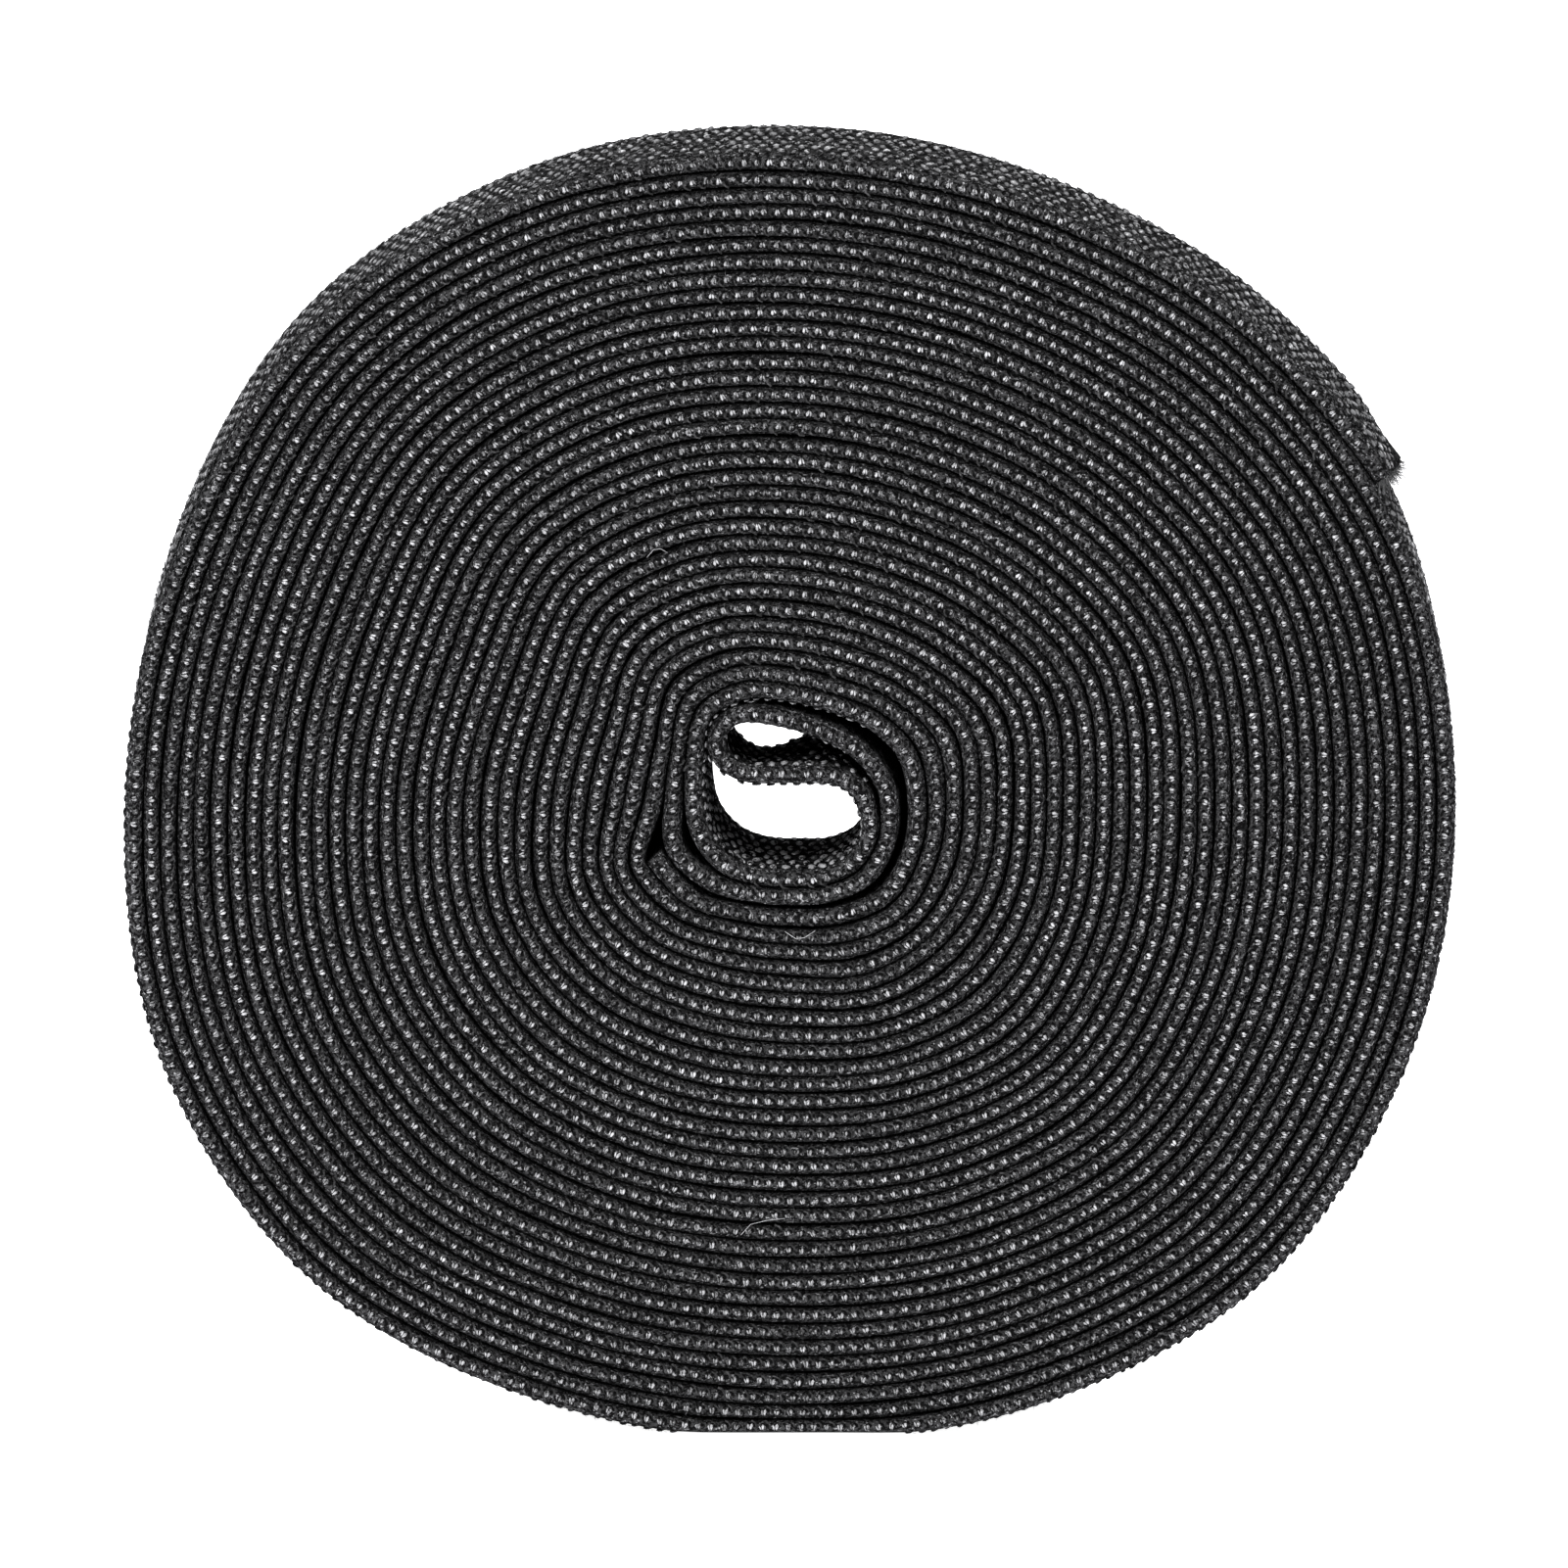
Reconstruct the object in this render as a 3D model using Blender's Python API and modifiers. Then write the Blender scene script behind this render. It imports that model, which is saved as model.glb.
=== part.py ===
"""A roll of flat knitted elastic: one long band, folded back on itself at its inner end and
wound on edge into a flat roll, which stands on its rim.

Metres, +Z up.  The roll's axis lies along Y and its front face looks towards -Y.  Directions
round the roll are clockwise from +X as seen from the front.  The origin is on the surface
that the roll stands on, under the middle of its box.
"""

import math

import bpy

MM = 0.001

BAND_WIDTH = 25 * MM
BAND_THICKNESS = 0.82 * MM
CENTRE_HEIGHT = 38.8 * MM  # of the winding's centre above the surface that flattens its rim
PRESSED_PITCH = 0.88 * MM  # between the middles of turns that are pressed together there
LAST_TURN = 32.92  # the loose outer end lies at this many turns
LOWEST_TURN = 32.25  # where the last turn passes under the centre
END_LIFT = 0.3 * MM  # how far the loose end stands off the turn below it
END_LIFT_TURNS = 0.04  # over this much of the last turn

# Distance in mm from the winding's centre to the middle of the band, by direction.
# tail_1 and tail_2 are the two passes of the inner end, band_1 is the band's first pass
# beside it, and the other columns are the wound band at 2, 5, 12 and 32 turns.
DIRECTIONS = (
    # degrees, tail_1, band_1, tail_2, turn_2, turn_5, turn_12, turn_32
    (0.0, None, 6.0, 7.7, 8.9, 12.1, 19.1, 39.9),
    (22.5, 5.3, 6.3, 8.0, 9.0, 12.3, 19.6, 40.2),
    (45.0, 5.4, 6.5, 8.2, 9.3, 12.2, 20.0, 40.5),
    (67.5, 5.1, 6.1, 7.7, 8.6, 11.9, 19.0, 39.2),
    (90.0, 4.8, 5.8, 7.3, 8.1, 11.0, 18.2, 38.4),
    (112.5, 5.1, 6.1, 7.6, 8.3, 11.2, 18.6, 39.0),
    (135.0, 5.6, 7.0, 8.6, 9.3, 12.2, 19.4, 40.6),
    (157.5, 5.9, 7.7, 9.1, 9.8, 12.7, 19.7, 40.7),
    (180.0, 6.0, 7.2, None, 7.9, 11.4, 19.0, 39.6),
    (202.5, 6.5, 7.5, None, 7.9, 11.1, 18.5, 39.4),
    (225.0, 7.5, 8.7, None, 9.1, 12.3, 19.6, 40.1),
    (247.5, 7.3, 8.4, None, 8.7, 11.8, 18.9, 39.3),
    (270.0, 6.6, 7.6, None, 7.9, 10.9, 18.0, 38.3),
    (292.5, 6.5, 7.5, None, 7.7, 10.8, 17.9, 38.2),
    (315.0, 7.0, 8.2, None, 8.3, 11.4, 18.7, 39.3),
    (337.5, 7.6, 8.9, None, 9.1, 12.5, 19.8, 40.2),
)
DEGREES, TAIL_1, BAND_1, TAIL_2, TURN_2, TURN_5, TURN_12, TURN_32 = range(8)
WOUND_COLUMNS = ((2, TURN_2), (5, TURN_5), (12, TURN_12), (32, TURN_32))

# The tight fold in the eye of the roll, mm from the winding's centre: along the lower branch,
# round the fold at the left and back along the upper branch.
FOLD = (
    # x, z
    (4.6, -0.4),
    (4.1, 0.7),
    (2.6, 1.5),
    (0.1, 1.6),
    (-2.2, 1.8),
    (-3.5, 2.5),
    (-4.1, 3.6),
    (-3.6, 4.7),
    (-2.3, 5.2),
    (-0.2, 5.0),
    (2.0, 4.3),
    (4.0, 3.2),
    (5.4, 1.6),
)

STEPS_IN_FOLD = 4  # steps of the band between two rows of a table
STEPS_IN_INNER_TURNS = 2
STEPS_IN_OUTER_TURNS = 3
OUTER_TURNS_START = 20
KNOTS_PAST_END = 2  # that the smooth curve needs beyond the loose end

BAND_COLOUR = (0.032, 0.032, 0.034, 1.0)
BAND_ROUGHNESS = 0.62


def clear_scene():
    for obj in list(bpy.data.objects):
        bpy.data.objects.remove(obj, do_unlink=True)


def at(degrees, radius):
    """The point (x, z) at a clockwise direction and a distance from the winding's centre."""
    angle = math.radians(degrees)
    return (radius * math.cos(angle), -radius * math.sin(angle))


def wound_radius(row, turns):
    """Distance from the centre to the middle of the band after this many turns."""
    below = max(i for i, (at_turn, _) in enumerate(WOUND_COLUMNS[:-1]) if at_turn <= turns)
    (first_turn, first), (next_turn, following) = WOUND_COLUMNS[below : below + 2]
    share = (turns - first_turn) / (next_turn - first_turn)
    return (row[first] + (row[following] - row[first]) * share) * MM


def tail_and_fold():
    """Knots from the hidden inner end to the second turn: (x, z), turns, steps to the next."""
    rows = [(row[DEGREES], row[TAIL_2]) for row in reversed(DIRECTIONS) if row[TAIL_2]]
    rows += [(row[DEGREES], row[TAIL_1]) for row in reversed(DIRECTIONS) if row[TAIL_1]]
    knots = [(at(degrees, radius * MM), 0, STEPS_IN_INNER_TURNS) for degrees, radius in rows]
    knots += [((x * MM, z * MM), 0, STEPS_IN_FOLD) for x, z in FOLD]
    for row in DIRECTIONS:
        knots.append((at(row[DEGREES], row[BAND_1] * MM), 0, STEPS_IN_INNER_TURNS))
    return knots


def wound_turns():
    """Knots of the wound band, from the second turn to the loose end."""
    knots = []
    for turn in range(2, math.ceil(LAST_TURN) + 1):
        steps = STEPS_IN_OUTER_TURNS if turn >= OUTER_TURNS_START else STEPS_IN_INNER_TURNS
        for row in DIRECTIONS:
            turns = turn + row[DEGREES] / 360
            lift = END_LIFT * max(0.0, 1 - (LAST_TURN - turns) / END_LIFT_TURNS)
            radius = wound_radius(row, turns) + lift
            knots.append((at(row[DEGREES], radius), turns, steps))
    furthest = LAST_TURN + KNOTS_PAST_END / len(DIRECTIONS)
    return [knot for knot in knots if knot[1] <= furthest]


def between(before, start, end, after, share):
    """A point of the smooth curve from start to end, by the knots on either side of them."""
    a = [(q - p) / 2 for p, q in zip(before, end)]
    b = [(q - p) / 2 for p, q in zip(start, after)]
    s = share
    return [
        p * (2 * s**3 - 3 * s**2 + 1)
        + u * (s**3 - 2 * s**2 + s)
        + q * (3 * s**2 - 2 * s**3)
        + v * (s**3 - s**2)
        for p, q, u, v in zip(start, end, a, b)
    ]


def pressed_flat(x, z, turns):
    """Keeps the lowest turns above the surface that flattens the rim, pressed on each other."""
    layers_outside = max(0, round(LOWEST_TURN - turns))
    lowest = BAND_THICKNESS / 2 + layers_outside * PRESSED_PITCH - CENTRE_HEIGHT
    return (x, max(z, lowest))


def middle_line():
    """The band's middle line in (x, z), from its hidden inner end to its loose outer end."""
    knots = tail_and_fold() + wound_turns()
    knots = [knots[0]] + knots
    line = []
    for i in range(1, len(knots) - 2):
        start, turns, steps = knots[i]
        end, next_turns, _ = knots[i + 1]
        before, after = knots[i - 1][0], knots[i + 2][0]
        for step in range(steps):
            share = step / steps
            reached = turns + (next_turns - turns) * share if turns else 0
            if reached > LAST_TURN:
                return line
            x, z = between(before, start, end, after, share)
            line.append(pressed_flat(x, z, reached) if turns else (x, z))
    return line


def elastic_material():
    material = bpy.data.materials.new("black_knitted_elastic")
    material.use_nodes = True
    surface = material.node_tree.nodes["Principled BSDF"]
    surface.inputs["Base Color"].default_value = BAND_COLOUR
    surface.inputs["Roughness"].default_value = BAND_ROUGHNESS
    surface.inputs["Metallic"].default_value = 0.0
    return material


def elastic_band(collection):
    """One band: its middle line, drawn out to its width and thickened on both sides."""
    line = middle_line()
    middle_x = (min(x for x, _ in line) + max(x for x, _ in line)) / 2
    curve = bpy.data.curves.new("elastic_band", "CURVE")
    curve.dimensions = "2D"
    curve.fill_mode = "NONE"
    curve.extrude = BAND_WIDTH / 2
    spline = curve.splines.new("POLY")
    spline.points.add(len(line) - 1)
    for point, (x, z) in zip(spline.points, line):
        point.co = (x - middle_x, z, 0, 1)
    band = bpy.data.objects.new("elastic_band", curve)
    band.rotation_euler = (math.radians(90), 0, 0)
    band.location = (0, 0, CENTRE_HEIGHT)
    curve.materials.append(elastic_material())
    collection.objects.link(band)

    thickness = band.modifiers.new("thickness", "SOLIDIFY")
    thickness.thickness = BAND_THICKNESS
    thickness.offset = 0
    thickness.use_even_offset = True
    return band


def main():
    clear_scene()
    reel = bpy.data.collections.new("reel_of_elastic")
    bpy.context.scene.collection.children.link(reel)
    elastic_band(reel)


main()
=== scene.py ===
import math

import bmesh
import bpy
import numpy as np
from mathutils import Matrix, Vector
from mathutils.kdtree import KDTree


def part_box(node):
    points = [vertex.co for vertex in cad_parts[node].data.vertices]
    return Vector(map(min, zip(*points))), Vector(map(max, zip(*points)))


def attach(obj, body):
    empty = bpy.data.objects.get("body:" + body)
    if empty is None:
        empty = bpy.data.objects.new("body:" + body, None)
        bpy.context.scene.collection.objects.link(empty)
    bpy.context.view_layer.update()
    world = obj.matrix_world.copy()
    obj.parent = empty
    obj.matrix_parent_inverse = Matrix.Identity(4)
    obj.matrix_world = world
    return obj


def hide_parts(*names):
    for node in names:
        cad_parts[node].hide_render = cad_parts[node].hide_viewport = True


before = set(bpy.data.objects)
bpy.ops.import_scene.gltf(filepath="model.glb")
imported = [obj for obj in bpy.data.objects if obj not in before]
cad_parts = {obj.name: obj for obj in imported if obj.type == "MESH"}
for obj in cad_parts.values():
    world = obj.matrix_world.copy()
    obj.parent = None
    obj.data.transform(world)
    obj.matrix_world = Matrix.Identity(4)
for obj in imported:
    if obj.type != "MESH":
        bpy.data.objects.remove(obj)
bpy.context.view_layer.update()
print("frame loaded:", sorted(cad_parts))

mm = 0.001

shot = {
    "photoPixels": 1601,
    "pixel": 0.0598 * mm,  # size of a photo pixel at the roll's front face
    "aim": (-0.32 * mm, -12.5 * mm, 39.85 * mm),  # what the middle of the picture shows
    "azimuth": 1.25,  # degrees from straight in front, towards +X
    "elevation": 4.55,
    "distance": 4.0,
    "sensor": 36.0,
    "clip": (0.1, 20),
}

# the band's way through the roll, with the CAD part's own sizes and tables

roll = {
    "centreHeight": 38.8 * mm,
    "solidThickness": 0.82 * mm,
    "pressedPitch": 0.88 * mm,  # between the turns that are pressed together under the centre
    "lastTurn": 32.92,  # the loose outer end
    "lowestTurn": 32.25,  # where the last turn passes under the centre
    "endLift": 0.3 * mm,
    "endLiftTurns": 0.04,
    "stepsBetweenKnots": 12,
    "knotsPastEnd": 2,  # that the smooth curve needs beyond the loose end
}

# mm from the winding's centre to the middle of the band, by direction clockwise from +X
directions = (
    # degrees, tail1, band1, tail2, turn2, turn5, turn12, turn32
    (0.0, None, 6.0, 7.7, 8.9, 12.1, 19.1, 39.9),
    (22.5, 5.3, 6.3, 8.0, 9.0, 12.3, 19.6, 40.2),
    (45.0, 5.4, 6.5, 8.2, 9.3, 12.2, 20.0, 40.5),
    (67.5, 5.1, 6.1, 7.7, 8.6, 11.9, 19.0, 39.2),
    (90.0, 4.8, 5.8, 7.3, 8.1, 11.0, 18.2, 38.4),
    (112.5, 5.1, 6.1, 7.6, 8.3, 11.2, 18.6, 39.0),
    (135.0, 5.6, 7.0, 8.6, 9.3, 12.2, 19.4, 40.6),
    (157.5, 5.9, 7.7, 9.1, 9.8, 12.7, 19.7, 40.7),
    (180.0, 6.0, 7.2, None, 7.9, 11.4, 19.0, 39.6),
    (202.5, 6.5, 7.5, None, 7.9, 11.1, 18.5, 39.4),
    (225.0, 7.5, 8.7, None, 9.1, 12.3, 19.6, 40.1),
    (247.5, 7.3, 8.4, None, 8.7, 11.8, 18.9, 39.3),
    (270.0, 6.6, 7.6, None, 7.9, 10.9, 18.0, 38.3),
    (292.5, 6.5, 7.5, None, 7.7, 10.8, 17.9, 38.2),
    (315.0, 7.0, 8.2, None, 8.3, 11.4, 18.7, 39.3),
    (337.5, 7.6, 8.9, None, 9.1, 12.5, 19.8, 40.2),
)
degreesColumn, tail1, band1, tail2, turn2, turn5, turn12, turn32 = range(8)
woundColumns = ((2, turn2), (5, turn5), (12, turn12), (32, turn32))

# the tight fold in the eye: along its lower branch, round the left and back along the upper
foldPoints = (
    # x, z in mm from the winding's centre
    (4.6, -0.4), (4.1, 0.7), (2.6, 1.5), (0.1, 1.6), (-2.2, 1.8), (-3.5, 2.5), (-4.1, 3.6),
    (-3.6, 4.7), (-2.3, 5.2), (-0.2, 5.0), (2.0, 4.3), (4.0, 3.2), (5.4, 1.6),
)


def pointAt(degrees, radius):
    angle = math.radians(degrees)
    return (radius * math.cos(angle), -radius * math.sin(angle))


def woundRadius(row, turns):
    below = max(i for i, (atTurn, _) in enumerate(woundColumns[:-1]) if atTurn <= turns)
    (firstTurn, first), (nextTurn, following) = woundColumns[below : below + 2]
    share = (turns - firstTurn) / (nextTurn - firstTurn)
    return (row[first] + (row[following] - row[first]) * share) * mm


def tailAndFold():
    rows = [(row[degreesColumn], row[tail2]) for row in reversed(directions) if row[tail2]]
    rows += [(row[degreesColumn], row[tail1]) for row in reversed(directions) if row[tail1]]
    knots = [(pointAt(degrees, radius * mm), 0) for degrees, radius in rows]
    knots += [((x * mm, z * mm), 0) for x, z in foldPoints]
    return knots + [(pointAt(row[degreesColumn], row[band1] * mm), 0) for row in directions]


def woundTurns():
    knots = []
    for turn in range(2, math.ceil(roll["lastTurn"]) + 1):
        for row in directions:
            turns = turn + row[degreesColumn] / 360
            lift = max(0.0, 1 - (roll["lastTurn"] - turns) / roll["endLiftTurns"])
            radius = woundRadius(row, turns) + roll["endLift"] * lift
            knots.append((pointAt(row[degreesColumn], radius), turns))
    furthest = roll["lastTurn"] + roll["knotsPastEnd"] / len(directions)
    return [knot for knot in knots if knot[1] <= furthest]


def smoothBetween(before, start, end, after, s):
    # a point of the smooth curve from start to end, by the knots on either side of them
    a = [(q - p) / 2 for p, q in zip(before, end)]
    b = [(q - p) / 2 for p, q in zip(start, after)]
    return [
        p * (2 * s**3 - 3 * s**2 + 1)
        + u * (s**3 - 2 * s**2 + s)
        + q * (3 * s**2 - 2 * s**3)
        + v * (s**3 - s**2)
        for p, q, u, v in zip(start, end, a, b)
    ]


# the band itself

band = {
    "width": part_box("elastic_band")[1].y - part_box("elastic_band")[0].y,
    "freeHalf": 0.63 * mm,  # half the thickness where nothing presses on it
    "pressedHalf": 0.54 * mm,
    "bellyHalf": 1.0 * mm,  # in the middle of the width, where it meets the next turn
    "endReach": 0.004,  # turns that the soft loose end reaches past the solid's
    "betweenTurns": 0.008 * mm,
    "pressedTogether": 0.02 * mm,  # in the middle of the width
    "fineStep": 0.45 * mm,  # along the band, through the fold and the first turns
    "coarseStep": 1.8 * mm,
    "fineUntil": 0.30,  # metres of band
    "endSlant": (-0.5 * mm, 0.45 * mm),  # how much further the cut end reaches, front and back
    "endSlantOver": 6 * mm,
    "endRagged": 0.16 * mm,
    "wander": 0.045 * mm,  # of each selvedge towards its neighbours
    "inOut": 0.16 * mm,  # of each selvedge along the roll's axis
    "wanderDepth": 3 * mm,
    "edgeTold": 4,  # mm off a selvedge, the most that the material is told
    "mergeWithin": 0.002 * mm,
    "seed": 5,
}
# the section near a selvedge
selvedgeShape = (
    # depth in mm, share of half the thickness where a turn presses on it, and where it's free
    (0.03, 0.30, 0.30), (0.18, 0.58, 0.62), (0.50, 0.86, 0.90), (1.6, 1.0, 1.0),
)

# where the band isn't wound quite straight, by the knot of the middle line: how far that
# reaches along it, over how many turns it fades away (below zero inwards), and how far the
# band's back and its front stand off that line, all lengths in mm
leans = (
    # knot, over, turns, back, front
    (0.5, 3.0, 1, -0.3, 0.0),  # the inner end's tip
    (7.0, 5.0, 1, 0.2, 0.0),  # the inner end, to the right of the eye
    (13.5, 2.5, 1, 0.4, 0.0),  # the inner end, above the fold
    (25.4, 2.0, 1, -0.4, 0.0),  # the fold's lower branch
    (26.8, 2.1, 1, 0.75, 0.0),
    (28.8, 2.6, 1, 0.7, 0.6),  # round the fold
    (36.5, 4.0, 1, 0.5, 0.0),  # the band after the fold
    (43.6, 3.0, 1, 0.35, 0.0),  # the band beside the inner end's tip
    (52.0, 4.0, 6, -0.5, 0.0),  # the second turn, to the right of the eye
    (59.6, 4.0, 6, -0.6, 0.0),  # the second turn, beside the inner end's tip
    (531.5, 12.0, -8, -0.7, 0.0),  # the last turn but one, below the loose end
    (541.2, 16.0, -8, 0.5, 0.0),  # the last turn, at the upper left
    (546.7, 2.2, 1, -0.4, 0.0),  # the loose end's back corner
)


def middleLine():
    knots = tailAndFold() + woundTurns()
    knots = [knots[0]] + knots
    line = []
    for i in range(1, len(knots) - 2):
        (before, _), (start, turns), (end, nextTurns), (after, _) = knots[i - 1 : i + 3]
        for step in range(roll["stepsBetweenKnots"]):
            share = step / roll["stepsBetweenKnots"]
            reached = turns + (nextTurns - turns) * share if turns else 0
            if reached > roll["lastTurn"] + band["endReach"]:
                return np.array(line)
            x, z = smoothBetween(before, start, end, after, share)
            if turns:
                outside = max(0, round(roll["lowestTurn"] - reached))
                height = roll["solidThickness"] / 2 + outside * roll["pressedPitch"]
                z = max(z, height - roll["centreHeight"])
            line.append((x, z, reached))
    return np.array(line)


line = middleLine()
line[:, 0] -= (line[:, 0].min() + line[:, 0].max()) / 2
line[:, 1] += roll["centreHeight"]
lineLength = np.concatenate([[0], np.cumsum(np.hypot(*np.diff(line[:, :2], axis=0).T))])
bandLength = lineLength[-1]
lastTurnStart = lineLength[np.searchsorted(line[:, 2], roll["lastTurn"] - 1)]
print("band is", round(bandLength, 3), "m long")


def along(s):
    # x and z of the middle line, and of the direction out of the roll, at each length s
    reach = 0.15 * mm
    x, z = (np.interp(s, lineLength, line[:, i]) for i in (0, 1))
    x0, z0 = (np.interp(s - reach, lineLength, line[:, i]) for i in (0, 1))
    x1, z1 = (np.interp(s + reach, lineLength, line[:, i]) for i in (0, 1))
    tangentX, tangentZ = x1 - x0, z1 - z0
    size = np.hypot(tangentX, tangentZ)
    return x, z, -tangentZ / size, tangentX / size


waves = {
    "lengths": (19 * mm, 47 * mm, 131 * mm, 318 * mm),
    "stretch": 0.11,  # how much longer they are from one start to the next
    "shifts": (1.7, 2.3),  # radians from one length, and from one start, to the next
    "inOutStart": 3,  # other starts give other waves
    "shadeStart": 5,
}


def slowWave(s, start):
    # an uneven wave along the band, from about -1 to 1
    wave = np.zeros_like(s)
    perLength, perStart = waves["shifts"]
    for i, length in enumerate(waves["lengths"]):
        stretched = length * (1 + waves["stretch"] * start)
        wave += np.sin(2 * math.pi * s / stretched + perLength * i + perStart * start)
    return wave / math.sqrt(len(waves["lengths"]))


def wander(s, side):
    # the slow drift of a selvedge: towards its neighbours, and along the axis
    inOut = slowWave(s, waves["inOutStart"] + side) * band["inOut"]
    return slowWave(s, side) * band["wander"], inOut


def knotLength(knot):
    return lineLength[round(knot * roll["stepsBetweenKnots"])]


def lean(s, depthShare):
    # how far the band stands off its middle line, from the front at 0 to the back at 1
    off = np.zeros_like(s)
    for knot, over, turns, back, front in leans:
        for n in range(abs(turns)):
            middle = knotLength(knot + n * len(directions) * (1 if turns > 0 else -1))
            near = np.exp(-(((s - middle) / (over * mm)) ** 2)) * (1 - n / abs(turns))
            off += near * (front + (back - front) * depthShare) * mm
    return off


neighbours = {
    "step": 0.5 * mm,  # between the places where the room is measured
    "ownPass": 4 * mm,  # nearer than this along the band is the same pass of it
    "beside": 0.6,  # steps that a neighbour may stand ahead or behind
    "downwards": -0.2,  # below this the outer face looks down at the table
    "averaged": 5,  # places
    "tolerance": 0.01 * mm,
}


def roomBeside(depthShare, half):
    # half the thickness that fits on the outer and on the inner side, all along the band
    step = neighbours["step"]
    s = np.arange(0, bandLength, step)
    x, z, nx, nz = along(s)
    off = lean(s, depthShare)
    x, z = x + nx * off, z + nz * off
    tree = KDTree(len(s))
    for i in range(len(s)):
        tree.insert((x[i], z[i], 0), i)
    tree.balance()
    room = np.full((2, len(s)), 2 * half)
    for i in range(len(s)):
        for _, j, _ in tree.find_range((x[i], z[i], 0), 2 * half + step):
            across = (x[j] - x[i]) * nx[i] + (z[j] - z[i]) * nz[i]
            ahead = abs((x[j] - x[i]) * nz[i] - (z[j] - z[i]) * nx[i])
            anotherPass = abs(j - i) * step > neighbours["ownPass"]
            if anotherPass and ahead < neighbours["beside"] * step:
                side = 0 if across > 0 else 1
                room[side, i] = min(room[side, i], abs(across))
    downwards = nz < neighbours["downwards"]
    room[0, downwards] = np.minimum(room[0, downwards], 2 * z[downwards] / -nz[downwards])
    if depthShare == 0.5:
        return s, (room + band["pressedTogether"]) / 2
    count = neighbours["averaged"]
    padded = np.pad(room, ((0, 0), (count // 2, count // 2)), mode="edge")
    calm = [np.convolve(row, np.ones(count) / count, mode="valid") for row in padded]
    return s, (np.minimum(room, calm) - band["betweenTurns"]) / 2


# at the front, in the middle of the width and at the back
rooms = {
    -1: roomBeside(0.0, band["freeHalf"]),
    0: roomBeside(0.5, band["bellyHalf"]),
    1: roomBeside(1.0, band["freeHalf"]),
}


def halfAt(s, face, part=-1):
    # half the thickness towards the outer face (1) or the inner one (-1)
    samples, room = rooms[part]
    half = np.interp(s, samples, room[0 if face > 0 else 1])
    if part:
        return half
    # the middle reaches a turn beside it, and nothing else
    alone = half > band["bellyHalf"] - neighbours["tolerance"]
    return np.where(alone, np.minimum(half, band["freeHalf"]), half)


def onBand(s, side, across, out):
    # a point by its length along the band, its side (-1 front, 1 back), how far it stands
    # across the thickness and how far out of the selvedge
    x, z, nx, nz = along(s)
    drift, inOut = wander(s, side)
    across = across + drift + lean(s, 1.0 if side > 0 else 0.0)
    y = side * (band["width"] / 2 + out) + inOut
    return np.stack([x + nx * across, y, z + nz * across], axis=-1)


def onFace(s, y, out):
    # a point by its length along the band, its place across the width, and how far it stands
    # off the middle line
    x, z, nx, nz = along(s)
    out = out + lean(s, y / band["width"] + 0.5)
    return np.stack([x + nx * out, y, z + nz * out], axis=-1)


def sectionRing():
    # once round the section: side, depth from the selvedge, and the two shares of half the
    # thickness, above zero on the outer face and below on the inner one
    outer = [(-1, depth * mm, pressed, free) for depth, pressed, free in selvedgeShape]
    outer += [(0, band["width"] / 2, 1, 1)]
    outer += [(1, depth * mm, pressed, free) for depth, pressed, free in reversed(selvedgeShape)]
    inner = [(side, depth, -pressed, -free) for side, depth, pressed, free in reversed(outer)]
    return [(-1, 0, 0, 0)] + outer + [(1, 0, 0, 0)] + inner


def asPiece(name, mesh, material):
    mesh.materials.append(material)
    mesh.shade_smooth()
    piece = bpy.data.objects.new(name, mesh)
    bpy.context.scene.collection.objects.link(piece)
    return piece


def newPiece(name, bm, material):
    mesh = bpy.data.meshes.new(name)
    bm.to_mesh(mesh)
    bm.free()
    return asPiece(name, mesh, material)


def bandSteps():
    fine = np.arange(0, band["fineUntil"], band["fineStep"])
    count = round((bandLength - band["fineUntil"]) / band["coarseStep"])
    return np.concatenate([fine, np.linspace(band["fineUntil"], bandLength, count)])


def girthAround(closed):
    # how far round the section each of its points is
    girth = [0.0]
    for (sideA, depthA, _, shareA), (sideB, depthB, _, shareB) in zip(closed, closed[1:]):
        width = abs(sideB * (band["width"] / 2 - depthB) - sideA * (band["width"] / 2 - depthA))
        girth.append(girth[-1] + math.hypot(width, (shareB - shareA) * band["freeHalf"]))
    return girth


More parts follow.
